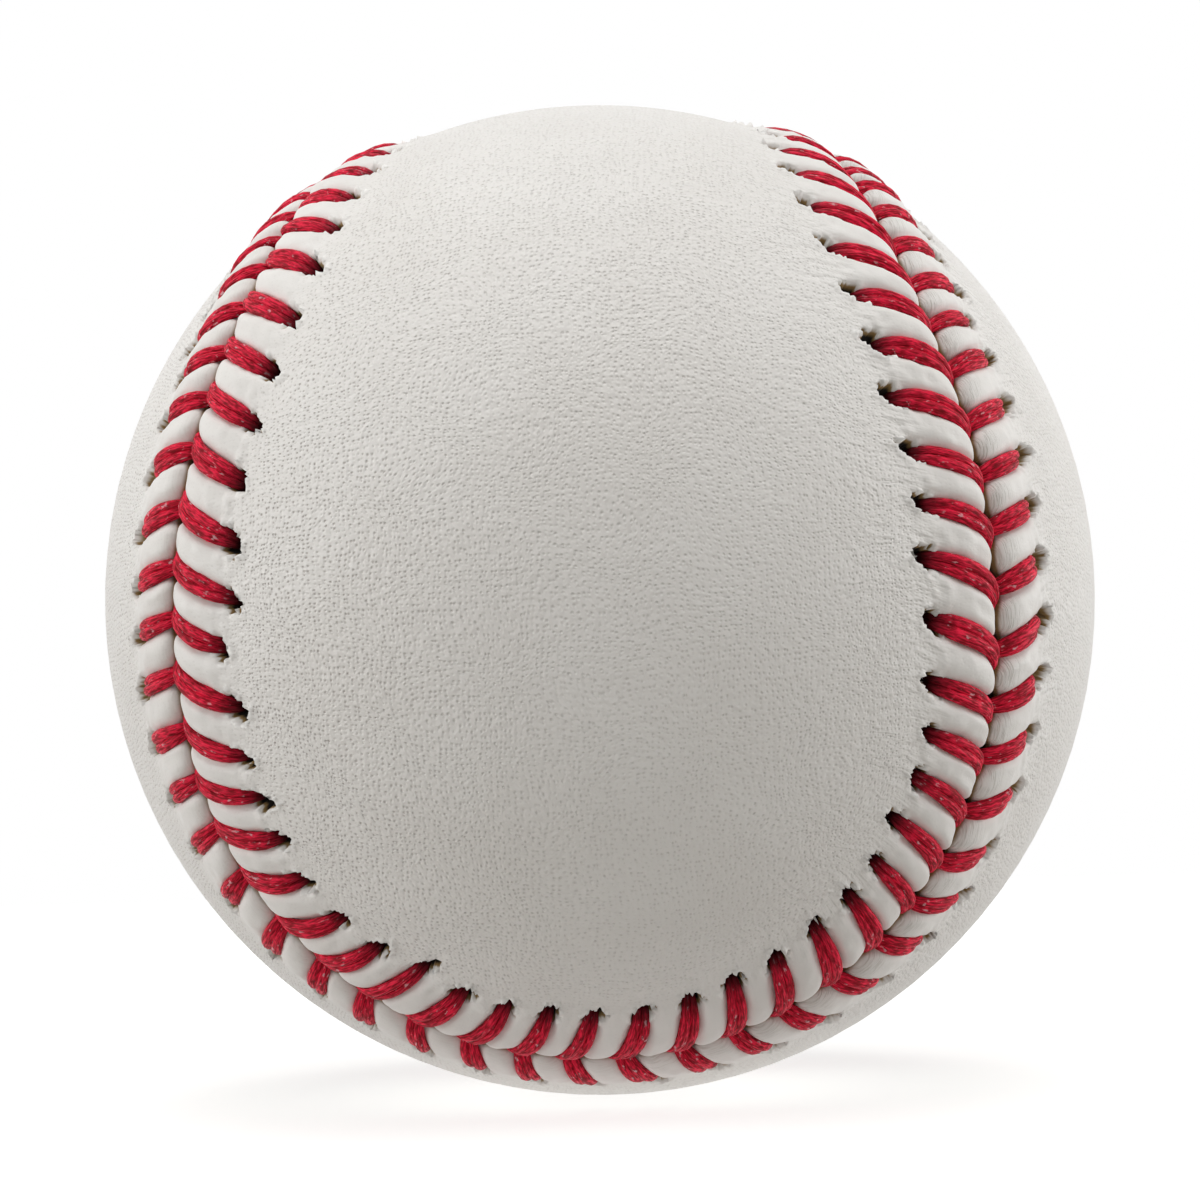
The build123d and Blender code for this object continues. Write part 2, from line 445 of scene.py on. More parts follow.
def edge_rows(lower):
    """Rows that round the edge over, from its crest down to the cut."""
    along = gathered(fine_step)
    edge = edge_line(along, lower)
    top, _, clear = pulled_leather(along, crest_away, lower)
    rows = []
    for share in edge_shares:
        away = edge + (crest_away - edge) * share
        round_over = (1 - (1 - share) ** edge_roundness) ** (1 / edge_roundness)
        height = edge_height + (top - edge_height) * round_over
        # The last rows of the cut edge are painted dark, as shade in the gap between the panels.
        raw_and_shade = raw_edge_shade * max(0.0, 1 - share / raw_share)
        points = on_ball(along + lean_along(away, lower), away, height)
        rows.append((points, away, raw_and_shade, rib_marks[lower] * clear))
    return rows


print("edge draws back", notch_depth / mm, "mm under a thread")

# %% Rows underneath
under_gap = 0.02 * mm
wall_share = 0.6
wall_slant = 0.03 * mm
foot_slant = 0.1 * mm


def under_rows(lower):
    """Rows down the cut wall, and back to the spine against the yarn."""
    under = leather_inner - ball_radius + under_gap
    rows = []
    wall = ((middle_step, wall_slant, wall_share * under), (wide_step, foot_slant, under))
    for step, slant, height in wall:
        along = gathered(step)
        edge = edge_line(along, lower)
        points = on_ball(along + lean_along(edge, lower), edge + slant, height)
        # The cut wall and the underside carry a full mark, painted black as shade in the gap.
        rows.append((points, 0.0, 1.0, 0.0))
    along = gathered(wide_step)
    for away in (crest_away, lean_reach):
        points = on_ball(along + lean_along(away, lower), away, under)
        rows.append((points, away, 1.0, 0.0))
    rows += [(points, ring_away, 1.0, 0.0) for points in field_rows(under, lower)]
    return rows


print("leather clears the yarn by", under_gap / mm, "mm")


# %% From a bmesh to a piece of the ball
def add_piece(bm, name, node):
    """Make a finished bmesh an object that stands for a node of the model."""
    mesh = bpy.data.meshes.new(name)
    bm.to_mesh(mesh)
    bm.free()
    mesh.shade_smooth()
    piece = bpy.data.objects.new(name, mesh)
    scene.collection.objects.link(piece)
    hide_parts(node)
    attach(piece, "root")
    print(name, len(mesh.vertices), "points", len(mesh.polygons), "faces")
    return piece


# %% Build both panels
merge_distance = 1e-6


def hide_place(place):
    """Where a point of a panel was on the flat hide: along the panel's spine, and across it."""
    ray = unit(place)
    along = np.arctan2(-ray[:, 1], ray[:, 2]) * ball_radius
    across = np.arcsin(np.clip(ray[:, 0], -1, 1)) * ball_radius
    return np.stack([along, across, 0 * along], axis=-1)


def build_panel(name, node, lower):
    """A leather panel as one closed skin."""
    rows = top_rows(lower) + edge_rows(lower) + under_rows(lower)
    bm = bmesh.new()
    bmesh.ops.create_grid(bm, x_segments=columns, y_segments=len(rows) - 1, size=1)
    layers = bm.verts.layers
    marks = [layers.float.new(label) for label in ("away", "torn_and_shade", "ribs")]
    marks += [layers.float_vector.new(label) for label in ("seam_place", "hide_place")]
    station = np.arange(columns + 1) / columns * 2 * pi
    circle = np.stack([np.cos(station), np.sin(station)], axis=-1) * seam_length / (2 * pi)
    points = iter(bm.verts)
    for place, away, torn_and_shade, ribs in rows:
        hide = hide_place(place)
        place = place @ to_lower.T if lower else place
        away, torn_and_shade, ribs = np.broadcast_arrays(away, torn_and_shade, ribs, station)[:3]
        seam_place = np.column_stack([circle, away])
        for point, *values in zip(place, away, torn_and_shade, ribs, seam_place, hide):
            vert = next(points)
            vert.co = point
            for layer, value in zip(marks, values):
                vert[layer] = value
    bmesh.ops.remove_doubles(bm, verts=bm.verts, dist=merge_distance)
    bmesh.ops.recalc_face_normals(bm, faces=bm.faces)
    return add_piece(bm, name, node)


panels = [
    build_panel("leather_upper", "leather_panel_upper", False),
    build_panel("leather_lower", "leather_panel_lower", True),
]

# %% [markdown]
# ## Stitches
# The thread is two plies of waxed cotton that lie side by side and turn a little round each other. One
# stitch is a small cage: two six-sided tubes, made by create_cone and cut across by subdivide_edges.
# Copies of the cage are bent onto the ball one by one, each a little different, and a Subdivision Surface
# rounds them. Curves with a bevel would do for a smooth thread, but a cage lets each ply swell, flatten
# and dive by itself.

# %% Line of the thread: mm away from the seam, mm above the groove, and its share of the full width
thread_line = np.array([
    (-0.6, -1.0, 0.5),
    (0.0, -0.1, 0.76),
    (0.95, 0.36, 0.98),
    (2.5, 0.46, 1.1),
    (4.0, 0.4, 1.04),
    (4.95, 0.1, 0.9),
    (5.6, -0.95, 0.62),
])
lower_away = np.array([0.45, 0.2, 0, 0, -0.1, -0.25, -0.25]) * mm
lower_drop = np.array([0.3, 0.35, 0.1, 0, 0, 0, 0]) * mm
shift_from = 2.0 * mm
height_scatter = 0.03 * mm
place_scatter = 0.06 * mm


def thread_centre(station, lower, rng):
    """Middle line of one thread, in seam coordinates."""
    away = thread_line[:, 0] * mm
    height = thread_line[:, 1] * mm
    if lower:
        away = away + lower_away
        height = height - lower_drop
    away = away + hole_shifts[int(lower), station] * ease(away, shift_from, hole_away)
    height = height + hillside(np.clip(away, crest_away, None)) - groove_depth
    height = height + rng.normal(0, height_scatter, len(away))
    forward = lean_along(away, lower) + rng.normal(0, place_scatter)
    return np.stack([forward, away, height], axis=-1)


print("thread rises", thread_line[:, 1].max(), "mm above its groove")

# %% Bend two plies round that line. The twists are in degrees
ply_half_width = 0.455 * mm
ply_half_height = 0.46 * mm
ply_offset = 0.3 * mm
ply_climb = 0.7
first_twist = 14
whole_twist = 50
twist_scatter = 15
swell_scatter = 0.05


def thread_points(shape, station, lower, rng):
    """Bend the points of a cage onto one station. Shape holds ply, angle and share along the thread."""
    ply, angle, share = shape
    centre = thread_centre(station, lower, rng)
    ahead = unit(np.gradient(centre, axis=0))
    flat = unit(np.stack([ahead[:, 1], -ahead[:, 0], 0 * ahead[:, 0]], axis=-1))
    up = np.cross(flat, ahead)
    ring = np.round(share * (len(centre) - 1)).astype(int)
    twist = radians(rng.normal(0, first_twist))
    twist = twist + radians(rng.normal(whole_twist, twist_scatter)) * (share - 0.5)
    swell = 1 + rng.normal(0, swell_scatter, (2, len(centre)))[(ply > 0).astype(int), ring]
    size = thread_line[ring, 2] * swell
    sideways = ply * ply_offset * np.cos(twist) + ply_half_width * np.cos(angle)
    upwards = ply_climb * ply * ply_offset * np.sin(twist) + ply_half_height * np.sin(angle)
    apart = flat[ring] * sideways[:, None] + up[ring] * upwards[:, None]
    place = centre[ring] + apart * size[:, None]
    points = on_ball(station * pitch + place[:, 0], place[:, 1], place[:, 2])
    return points @ to_lower.T if lower else points


print("thread", 2 * (ply_offset + ply_half_width) / mm, "mm wide")

# %% Sew both panels. Shade and tail are shares of the thread's length
ply_sides = 6
thread_shades = (0.68, 0.78)
tail_share = 0.12
strand_length = 7
strand_aside = 7
strand_ahead = 90


def build_cage(bm):
    """Two tubes a unit long, with a mark for the ply."""
    ply_mark = bm.verts.layers.int.new("ply")
    for ply in (-1, 1):
        made = bmesh.ops.create_cone(
            bm, cap_ends=True, cap_tris=False, segments=ply_sides, radius1=1, radius2=1, depth=1
        )
        sides = [edge for edge in bm.edges if edge.verts[0] in made["verts"]]
        lengthwise = [edge for edge in sides if abs(edge.verts[0].co.z - edge.verts[1].co.z) > 0.5]
        bmesh.ops.subdivide_edges(bm, edges=lengthwise, cuts=len(thread_line) - 2, use_grid_fill=True)
        for vert in bm.verts:
            if vert[ply_mark] == 0:
                vert[ply_mark] = ply
    return ply_mark


def build_stitches(name, node, lower, seed):
    """All stitches of one panel."""
    rng = np.random.default_rng(seed)
    shade_from = thread_shades[lower]
    bm = bmesh.new()
    ply_mark = build_cage(bm)
    strand_mark = bm.verts.layers.float_vector.new("strand")
    sunk_shade_mark = bm.verts.layers.float.new("sunk_shade")
    cage = list(bm.verts) + list(bm.edges) + list(bm.faces)
    copies = [list(bm.verts)]
    for station in range(1, stitch_count):
        copy = bmesh.ops.duplicate(bm, geom=cage)
        copies.append([item for item in copy["geom"] if isinstance(item, bmesh.types.BMVert)])
    for station, verts in enumerate(copies):
        ply = np.array([vert[ply_mark] for vert in verts])
        corner = np.array([vert.co for vert in verts])
        angle = np.arctan2(corner[:, 1], corner[:, 0])
        share = corner[:, 2] + 0.5
        points = thread_points((ply, angle, share), station, lower, rng)
        offset = rng.uniform(0, 1)
        for vert, point, side, turn, part in zip(verts, points, ply, angle, share):
            across = side + 0.5 * cos(turn)
            through = 0.5 * sin(turn) + strand_aside * offset
            # The sunk mark paints shade where the thread dives into its hole and where its tail hooks
            # under the edge.
            dive_shade = max(0.0, part - shade_from) / (1 - shade_from)
            tail_shade = max(0.0, tail_share - part) / (2 * tail_share)
            vert.co = point
            vert[strand_mark] = (across, through, part * strand_length + strand_ahead * offset)
            vert[sunk_shade_mark] = dive_shade + tail_shade
    bmesh.ops.recalc_face_normals(bm, faces=bm.faces)
    piece = add_piece(bm, name, node)
    rounding = piece.modifiers.new("rounding", "SUBSURF")
    rounding.levels = 1
    rounding.render_levels = 1
    return piece


threads = [
    build_stitches("thread_upper", "stitches_upper", False, 5),
    build_stitches("thread_lower", "stitches_lower", True, 6),
]

# %% [markdown]
# ## Windings
# About 340 m of yarn is wound on the core, in four layers: two of grey wool, one of white, and a thin
# last one of cotton. A turn of yarn is a great circle, and the winding machine turns the ball a little
# after each, so the yarn crosses itself at every angle. Here one long grid is bent into a five-sided yarn
# on such circles, over a shell of the same colour, which closes what the turns leave open.

# %% Path of the yarn
points_per_turn = 60
yarn_creep = 0.0371
yarn_roll = 0.0233


def yarn_path(turns):
    """Directions along a yarn: out of the ball and sideways, with the angle that it has turned."""
    angle = np.arange(turns * points_per_turn + 1) / points_per_turn * 2 * pi
    creep = yarn_creep * angle
    level = np.sin(angle) * np.cos(yarn_roll * angle)
    rise = np.sin(angle) * np.sin(yarn_roll * angle)
    first = np.cos(angle) * np.cos(creep) - level * np.sin(creep)
    second = np.cos(angle) * np.sin(creep) + level * np.cos(creep)
    out = np.stack([first, second, rise], axis=-1)
    ahead = unit(np.gradient(out, axis=0))
    return out, np.cross(out, ahead), angle


print("a turn creeps by", 360 * yarn_creep, "degrees and rolls by", 360 * yarn_roll)

# %% Wind the layers
yarn_sides = 5
yarn_flatness = 0.4
layer_parts = 5
yarn_climb = 1.5
lay_widths = 4
shell_depth = 2.4
lining_gap = 0.03 * mm
shell_divisions = 5


def wind(name, node, under, yarn_width, turns, plies):
    """One layer: a yarn that climbs slowly to the outside of its layer, over a shell."""
    outer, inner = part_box(node)[1].z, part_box(under)[1].z
    half_height = min(yarn_flatness * yarn_width, (outer - inner) / layer_parts)
    out, sideways, angle = yarn_path(turns)
    radius = outer - half_height * (1 + yarn_climb * (1 - angle / angle[-1]))
    bm = bmesh.new()
    lay_mark = bm.verts.layers.float.new("lay")
    bmesh.ops.create_grid(bm, x_segments=len(angle) - 1, y_segments=yarn_sides, size=1)
    points = iter(bm.verts)
    for side in range(yarn_sides + 1):
        around = 2 * pi * side / yarn_sides - pi / 2
        place = out * (radius + half_height * sin(around))[:, None]
        place = place + sideways * cos(around) * yarn_width / 2
        lay = plies * side / yarn_sides + angle * outer / (lay_widths * yarn_width)
        for point, twist in zip(place, lay):
            vert = next(points)
            vert.co = point
            vert[lay_mark] = twist
    bmesh.ops.remove_doubles(bm, verts=bm.verts, dist=merge_distance)
    bmesh.ops.holes_fill(bm, edges=[edge for edge in bm.edges if edge.is_boundary], sides=0)
    bmesh.ops.recalc_face_normals(bm, faces=bm.faces)
    shell_radius = outer - shell_depth * half_height
    bmesh.ops.create_icosphere(bm, subdivisions=shell_divisions, radius=shell_radius)
    lining = bmesh.ops.create_icosphere(bm, subdivisions=shell_divisions, radius=inner + lining_gap)
    lining_faces = {face for vert in lining["verts"] for face in vert.link_faces}
    bmesh.ops.reverse_faces(bm, faces=list(lining_faces))
    return add_piece(bm, name, node)


inner_grey = "inner_grey_wool_winding"
white = "white_wool_winding"
outer_grey = "outer_grey_wool_winding"
windings = [
    wind("inner_grey_yarn", inner_grey, "red_rubber_skin", 2.0 * mm, 64, 4),
    wind("white_yarn", white, inner_grey, 1.6 * mm, 84, 3),
    wind("outer_grey_yarn", outer_grey, white, 1.6 * mm, 90, 3),
    wind("last_yarn", "finishing_yarn_winding", outer_grey, 0.9 * mm, 150, 2),
]

# %% [markdown]
# ## Finishes
# Nothing on the ball has one flat colour. Each finish is a few nodes: a pattern on Object coordinates,
# which are metres on the real ball, or on the marks that the pieces carry from their own seam
# coordinates. The pattern drives the colour, and the same pattern drives the bump, so that the two agree.
# Nodes could be wired by hand in the editor, but with a few helpers a finish reads like a recipe.


# %% Helpers that add nodes
def new_finish(name, settings):
    """A material, the tree to add to, and its shader with a few settings made."""
    material = bpy.data.materials.new(name)
    material.use_nodes = True
    shader = material.node_tree.nodes["Principled BSDF"]
    for setting, value in settings.items():
        shader.inputs[setting].default_value = value
    return material, material.node_tree, shader


def add_node(tree, kind, inputs, **settings):
    """Add a shader node. An input is a plain value, or the output socket of another node."""
    node = tree.nodes.new("ShaderNode" + kind)
    for name, value in settings.items():
        setattr(node, name, value)
    for name, value in inputs.items():
        if isinstance(value, bpy.types.NodeSocket):
            tree.links.new(value, node.inputs[name])
        else:
            node.inputs[name].default_value = value
    return node


def blend(tree, factor, first, second):
    """Mix two colours. Sockets 0, 6 and 7 are the Mix node's factor and its two colours."""
    return add_node(tree, "Mix", {0: factor, 6: first, 7: second}, data_type="RGBA").outputs[2]


def span(tree, value, low, high, start=0.0, end=1.0):
    """Map a value from one range to another, smoothly."""
    inputs = {"Value": value, "From Min": low, "From Max": high, "To Min": start, "To Max": end}
    return add_node(tree, "MapRange", inputs, interpolation_type="SMOOTHSTEP").outputs["Result"]


def sums(tree, operation, first, second):
    """Two numbers or sockets added, subtracted and so on."""
    return add_node(tree, "Math", {0: first, 1: second}, operation=operation).outputs[0]


def times(tree, first, second):
    """Two numbers or sockets multiplied."""
    return sums(tree, "MULTIPLY", first, second)


print("pieces that wait for a finish", [piece.name for piece in panels + threads + windings])


# %% Helpers for patterns
def mark(tree, name, output="Fac"):
    """A mark that a piece carries on its points: a number, or a Vector."""
    return add_node(tree, "Attribute", {}, attribute_name=name).outputs[output]


def object_place(tree):
    """Metres on the ball."""
    return add_node(tree, "TexCoord", {}).outputs["Object"]


def noise(tree, place, scale, detail):
    """Soft noise from 0 to 1, in patches about one over scale across."""
    inputs = {"Vector": place, "Scale": scale, "Detail": detail}
    return add_node(tree, "TexNoise", inputs).outputs["Fac"]


def drawn_noise(tree, place, factors, detail):
    """Noise on a place with its axes stretched, so that the patches are drawn out."""
    inputs = {0: place, 1: factors}
    stretched = add_node(tree, "VectorMath", inputs, operation="MULTIPLY").outputs["Vector"]
    return noise(tree, stretched, 1.0, detail)


def from_noise(tree, pattern, start=0.0, end=1.0):
    """Nearly all of a noise lies between 0.3 and 0.7, so that is what is mapped to a range."""
    return span(tree, pattern, 0.3, 0.7, start, end)


def wire(tree, shader, colour, roughness, pattern, height):
    """Give the shader its colour and roughness, and let a pattern stand out by a height."""
    bump = add_node(tree, "Bump", {"Height": pattern, "Strength": 1.0, "Distance": height})
    sockets = {"Base Color": colour, "Roughness": roughness, "Normal": bump.outputs["Normal"]}
    for name, socket in sockets.items():
        tree.links.new(socket, shader.inputs[name])


print("marks to draw on", [layer.name for layer in panels[0].data.attributes if not layer.is_internal])

# %% [markdown]
# ## Leather
# White tanned hide has a pebbled grain with a small pore in each hollow, and shade is painted into the
# pores. Pulled over the seam it is smooth, and it has fine folds towards the holes and ribs along its cut
# edge, with shade painted into the ribs. Where the thread has torn it, it is raw and brown; a highlight
# is painted on its raised lip, and black is painted as shade down the hole and in the gap of the seam.
# The pores are cells of a Voronoi texture on the flat hide that the panel was cut from. In three
# dimensions most cells would have their middles under the surface, and the pores would come in clumps.

# %% Pores of the hide. Scales are per metre, and the widths below are shares of a cell
pore_scale = 3000.0
pore_randomness = 0.6
wander_scale = 220.0
wander_reach = 1.2 * mm
dimple_half = 0.42
shallowest, deepest = 0.4, 1.1
narrowest, widest = 0.12, 0.28
pore_softness = 0.13


def wander(tree, hide_spot):
    """Shift places softly to and fro, so that no row of pores is straight."""
    inputs = {"Vector": hide_spot, "Scale": wander_scale, "Detail": 0.0}
    shift = add_node(tree, "TexNoise", inputs).outputs["Color"]
    inputs = {0: shift, 1: (wander_reach, wander_reach, 0.0), 2: hide_spot}
    return add_node(tree, "VectorMath", inputs, operation="MULTIPLY_ADD").outputs["Vector"]


def pores(tree, hide_spot):
    """Dimples of the hide, and the painted shade of the pore in the middle of each of them."""
    inputs = {"Vector": hide_spot, "Scale": pore_scale, "Randomness": pore_randomness}
    cells = add_node(tree, "TexVoronoi", inputs, voronoi_dimensions="2D")
    chance = add_node(tree, "SeparateColor", {"Color": cells.outputs["Color"]}).outputs["Red"]
    dimple = span(tree, cells.outputs["Distance"], 0.0, dimple_half, 1.0, 0.0)
    dimple = times(tree, dimple, span(tree, chance, 0.0, 1.0, shallowest, deepest))
    width = span(tree, chance, 0.0, 1.0, narrowest, widest)
    inside = sums(tree, "SUBTRACT", width, cells.outputs["Distance"])
    return dimple, span(tree, inside, 0.0, pore_softness)


print("a pore every", 1 / pore_scale / mm, "mm")

# %% Folds and ribs of the leather. The stretches are per metre round the seam, twice, and away from it
fold_stretch = (1900, 1900, 420)
rib_stretch = (900, 900, 14000)
fold_start, fold_full = 4.0 * mm, 5.8 * mm
fold_fade, fold_end = 6.0 * mm, 14.0 * mm
rib_full, rib_end = 0.6 * mm, 2.6 * mm


def leather_folds(tree, away, seam_place, creased):
    """Fine folds that run from the holes into the field."""
    by_hole = span(tree, away, fold_start, fold_full)
    by_hole = times(tree, by_hole, span(tree, away, fold_fade, fold_end, 1.0, 0.0))
    by_hole = times(tree, by_hole, creased)
    pattern = drawn_noise(tree, seam_place, fold_stretch, 2.0)
    return times(tree, pattern, by_hole)


def leather_ribs(tree, away, seam_place, creased):
    """Ribs along the cut edge, where the leather is squeezed."""
    by_edge = span(tree, away, rib_full, rib_end, 1.0, 0.0)
    by_edge = times(tree, by_edge, mark(tree, "ribs"))
    by_edge = times(tree, by_edge, creased)
    hatch = drawn_noise(tree, seam_place, rib_stretch, 2.0)
    return times(tree, span(tree, hatch, 0.44, 0.68), by_edge)


print("folds reach", fold_end / mm, "mm from the seam, and ribs", rib_end / mm)

# %% Colours and relief of the leather. The torn-and-shade mark is below 0 on a lip, where a highlight is painted, and 1 at the bottom of a hole, painted black as shade
white_hide = (0.808, 0.785, 0.75, 1)
cream_hide = (0.78, 0.754, 0.717, 1)
# Painted shade in the pores
pore_shade_brown = (0.3, 0.235, 0.2, 1)
# Painted shade in the ribs
rib_shade_brown = (0.33, 0.28, 0.21, 1)
# A painted highlight on a torn lip
lip_highlight_white = (0.92, 0.9, 0.865, 1)
raw_brown = (0.31, 0.2, 0.08, 1)
# Painted black shade down a hole and in the gap of the seam
hole_shade_black = (0.012, 0.008, 0.006, 1)
broad_scale = 95.0
lip_from, lip_full = -0.04, -0.3
brown_from, brown_full, black_full = 0.06, 0.3, 0.65
grain_height = 0.1 * mm
dimple_share = 0.75
fold_share = 2.2
rib_share = 0.3


def leather_relief(tree, pebble, dimple, fold, rib):
    """Height of the grain, counted in grain heights."""
    height = sums(tree, "SUBTRACT", pebble, times(tree, dimple, dimple_share))
    height = sums(tree, "ADD", height, times(tree, fold, fold_share))
    return sums(tree, "SUBTRACT", height, times(tree, rib, rib_share))


def leather_colour(tree, place, pore, rib, torn_and_shade):
    """Uneven white, painted shade in pores and ribs, a painted lip highlight, raw brown and black shade
    in holes.
    """
    broad = from_noise(tree, noise(tree, place, broad_scale, 2.0))
    hide = blend(tree, broad, white_hide, cream_hide)
    hide = blend(tree, pore, hide, pore_shade_brown)
    # Shade painted into the ribs
    hide = blend(tree, times(tree, rib, 0.32), hide, rib_shade_brown)
    # A highlight painted on a torn lip
    hide = blend(tree, span(tree, torn_and_shade, lip_full, lip_from, 0.85, 0.0), hide, lip_highlight_white)
    # Raw brown, then black painted as shade deeper down a hole
    raw_and_shade = blend(tree, span(tree, torn_and_shade, brown_full, black_full), raw_brown, hole_shade_black)
    return blend(tree, span(tree, torn_and_shade, brown_from, brown_full), hide, raw_and_shade)


print("grain up to", grain_height / mm, "mm high")

# %% Leather. Its pores are deeper and their painted shade darker to the left, and its creases deeper to the right
pore_left, pore_right = -28.0 * mm, 0.0
crease_left, crease_right = -8.0 * mm, 20.0 * mm
pebble_scale = 1900.0
wear_scale = 2600.0


def leather_finish():
    """White tanned hide."""
    settings = {"Specular IOR Level": 0.4, "Sheen Weight": 0.16, "Sheen Roughness": 0.4}
    material, tree, shader = new_finish("leather", settings)
    place = object_place(tree)
    side = add_node(tree, "SeparateXYZ", {"Vector": place}).outputs["X"]
    away = mark(tree, "away")
    torn_and_shade = mark(tree, "torn_and_shade")
    seam_place = mark(tree, "seam_place", "Vector")
    hide_spot = wander(tree, mark(tree, "hide_place", "Vector"))
    open_grain = span(tree, away, 4.5 * mm, 8.5 * mm, 0.1, 1.0)
    dimple, pore = pores(tree, hide_spot)
    dimple_depth = span(tree, side, pore_left, pore_right, 1.0, 0.75)
    dimple = times(tree, dimple, times(tree, open_grain, dimple_depth))
    pore = times(tree, pore, open_grain)
    # The shade painted in the pores is stronger to the left.
    pore = times(tree, pore, span(tree, side, pore_left, pore_right, 0.64, 0.15))
    grain = span(tree, away, 3.0 * mm, 8.5 * mm, 0.2, 1.15)
    pebble = times(tree, noise(tree, hide_spot, pebble_scale, 1.5), grain)
    creased = span(tree, side, crease_left, crease_right, 0.25, 1.0)
    fold = leather_folds(tree, away, seam_place, creased)
    rib = leather_ribs(tree, away, seam_place, creased)
    relief = leather_relief(tree, pebble, dimple, fold, rib)
    colour = leather_colour(tree, place, pore, rib, torn_and_shade)
    worn = span(tree, noise(tree, place, wear_scale, 3.0), 0.2, 0.8, 0.42, 0.6)
    worn = sums(tree, "MAXIMUM", worn, span(tree, torn_and_shade, brown_from, brown_full))
    wire(tree, shader, colour, worn, relief, grain_height)
    return material


leather = leather_finish()
for panel in panels:
    panel.data.materials.append(leather)
print("leather on", [panel.name for panel in panels])

# %% [markdown]
# ## Waxed thread
# The thread is crimson cotton, pulled through wax before it is sewn. Its fibres run along each ply, so
# the noise is drawn out along the strand, with darker patches where the cotton is soaked, and crumbs of
# pale wax stay on it. Shade is painted on it where it dives into a hole and where its tail hooks under
# the edge. A picture of thread would need a seam somewhere, and noise on the strand's own marks needs
# none.

# %% Thread. The stretches are across the strand, twice, and along it
deep_crimson = (0.22, 0.001, 0.006, 1)
bright_crimson = (0.92, 0.017, 0.064, 1)
soaked_crimson = (0.14, 0.0005, 0.003, 1)
pale_wax = (0.72, 0.42, 0.45, 1)
# Painted shade where the thread dives into a hole
hole_shade_crimson = (0.03, 0.001, 0.003, 1)
fibre_stretch = (7.5, 7.5, 1.9)
patch_stretch = (2.4, 2.4, 1.3)
crumb_stretch = (2.6, 2.6, 2.2)
fibre_height = 0.08 * mm


def thread_finish():
    """Crimson cotton with crumbs of wax."""
    material, tree, shader = new_finish("waxed_thread", {"Specular IOR Level": 0.1})
    strand = mark(tree, "strand", "Vector")
    sunk_shade = mark(tree, "sunk_shade")
    fibre = drawn_noise(tree, strand, fibre_stretch, 3.0)
    patch = drawn_noise(tree, strand, patch_stretch, 2.0)
    crumb = drawn_noise(tree, strand, crumb_stretch, 3.0)
    cotton = blend(tree, span(tree, fibre, 0.32, 0.68), deep_crimson, bright_crimson)
    cotton = blend(tree, span(tree, patch, 0.52, 0.72, 0.0, 0.75), cotton, soaked_crimson)
    waxed = times(tree, span(tree, crumb, 0.62, 0.74), 0.85)
    cotton = blend(tree, waxed, cotton, pale_wax)
    # Shade painted where the thread dives into a hole and under the edge
    cotton = blend(tree, span(tree, sunk_shade, 0.0, 0.9), cotton, hole_shade_crimson)
    wire(tree, shader, cotton, from_noise(tree, fibre, 0.62, 0.42), fibre, fibre_height)
    return material


waxed_thread = thread_finish()
for thread in threads:
    thread.data.materials.append(waxed_thread)
print("thread on", [thread.name for thread in threads])

# %% [markdown]
# ## Inside the ball
# The core is a bead of cork granules held by rubber, in two cups of black rubber with a red gasket
# between them, under a red rubber skin. These keep the shapes of the model, which are right, and only get
# a finish.
# Wool is matt and fuzzy: its colour follows a fine fibre, and shade is painted between its twisted plies.

# %% Wool and cotton
fuzz_scale = 3200.0
twist_share = 0.6
fuzz_share = 0.4
twist_height = 0.25 * mm


def yarn_finish(name, shaded_valley, lit_ridge):
    """Twisted yarn, with shade painted between its plies."""
    settings = {"Specular IOR Level": 0.15, "Sheen Weight": 0.25}
    material, tree, shader = new_finish(name, settings)
    twist = span(tree, sums(tree, "PINGPONG", mark(tree, "lay"), 0.5), 0.0, 0.5)
    fuzz = noise(tree, object_place(tree), fuzz_scale, 3.0)
    shade = times(tree, twist, twist_share)
    shade = sums(tree, "ADD", shade, times(tree, fuzz, fuzz_share))
    # Shade painted in the valleys between the plies
    colour = blend(tree, shade, shaded_valley, lit_ridge)
    wire(tree, shader, colour, from_noise(tree, fuzz, 0.8, 0.95), shade, twist_height)
    return material


# Each yarn has a shaded colour for between its plies and a lit one for their ridges.
grey_wool = yarn_finish("grey_wool", (0.2, 0.19, 0.185, 1), (0.5, 0.49, 0.48, 1))
white_wool = yarn_finish("white_wool", (0.5, 0.47, 0.4, 1), (0.86, 0.84, 0.78, 1))
finishing_yarn = yarn_finish("finishing_yarn", (0.56, 0.54, 0.5, 1), (0.88, 0.87, 0.84, 1))
for winding, yarn in zip(windings, (grey_wool, white_wool, grey_wool, finishing_yarn)):
    winding.data.materials.append(yarn)
print("yarn on", [winding.name for winding in windings])

# %% Cork and rubber
cloud_scale = 260.0
sand_scale = 4200.0
sand_height = 0.05 * mm
granule_scale = 520.0
bark_scale = 2400.0
bark_height = 0.2 * mm
pale_cork = (0.66, 0.46, 0.27, 1)
brown_cork = (0.4, 0.24, 0.12, 1)
dark_bark = (0.24, 0.13, 0.06, 1)
rubber_granule = (0.02, 0.018, 0.017, 1)


def rubber_finish(name, dark, light):
    """Moulded rubber: cloudy, with the fine sand of its mould."""
    material, tree, shader = new_finish(name, {})
    place = object_place(tree)
    cloud = noise(tree, place, cloud_scale, 3.0)
    sand = noise(tree, place, sand_scale, 2.0)
    colour = blend(tree, from_noise(tree, cloud), dark, light)
    wire(tree, shader, colour, from_noise(tree, sand, 0.5, 0.72), sand, sand_height)
    return material


